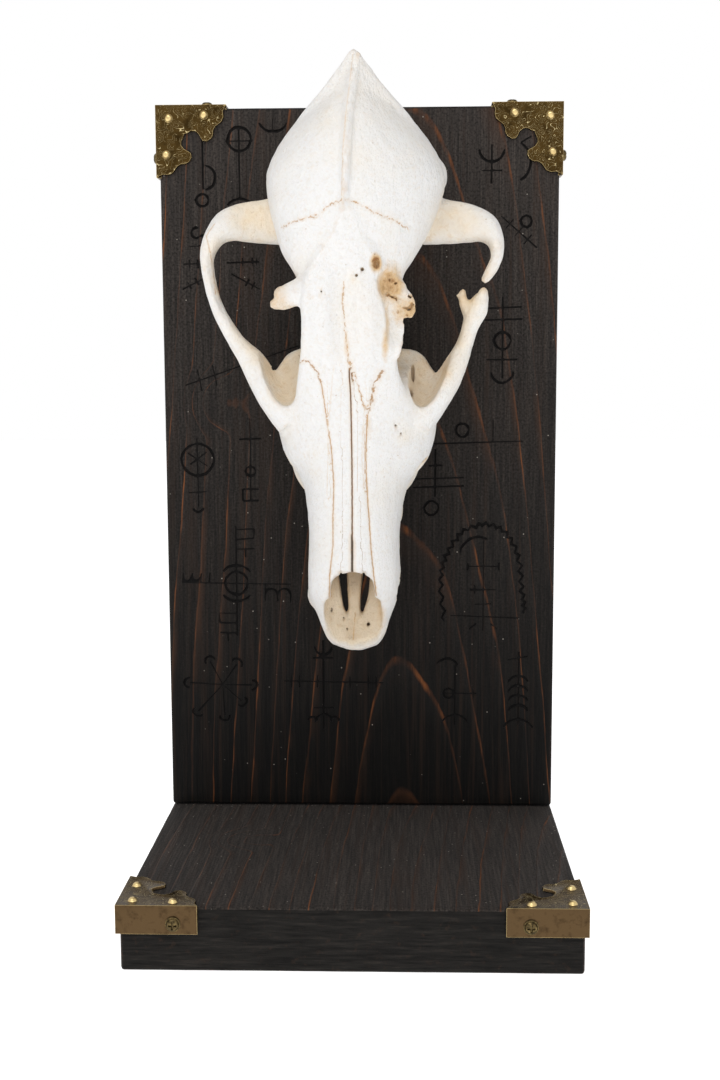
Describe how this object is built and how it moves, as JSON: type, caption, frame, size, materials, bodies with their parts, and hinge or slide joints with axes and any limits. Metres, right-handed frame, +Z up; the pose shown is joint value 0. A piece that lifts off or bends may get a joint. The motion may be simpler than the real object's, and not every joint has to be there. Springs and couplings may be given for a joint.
{
  "type": "coyote skull on a board stand",
  "caption": "Bleached coyote skull hung nose down on a black stained board stand with brass corners, a still museum piece.",
  "frame": {"origin": "middle of the base board's underside, which stands on the floor", "axes": "+Z up, the skull's brow faces -Y, +X to the right of someone who looks at the brow"},
  "size_m": [0.1452, 0.1226, 0.2796],
  "materials": {
    "bone": "bleached bone, matt, with tan stains in its hollows",
    "stained_pine": "black stained pine, satin, grain and carved signs showing",
    "antique_brass": "stamped sheet, darkened, with bright edges",
    "dark_steel": "blackened cross head screws",
    "beech": "plain turned dowel"
  },
  "bodies": {
    "root": {"skull": "bone", "board_upright": "stained_pine", "board_base": "stained_pine", "corner_top_left": "antique_brass", "corner_top_right": "antique_brass", "corner_front_left": "antique_brass", "corner_front_right": "antique_brass", "corner_top_left_screw_a": "dark_steel", "corner_top_left_screw_b": "dark_steel", "corner_top_right_screw_a": "dark_steel", "corner_top_right_screw_b": "dark_steel", "corner_front_left_screw_a": "dark_steel", "corner_front_left_screw_b": "dark_steel", "corner_front_right_screw_a": "dark_steel", "corner_front_right_screw_b": "dark_steel", "peg_upper": "beech", "peg_lower": "beech"}
  },
  "joints": []
}
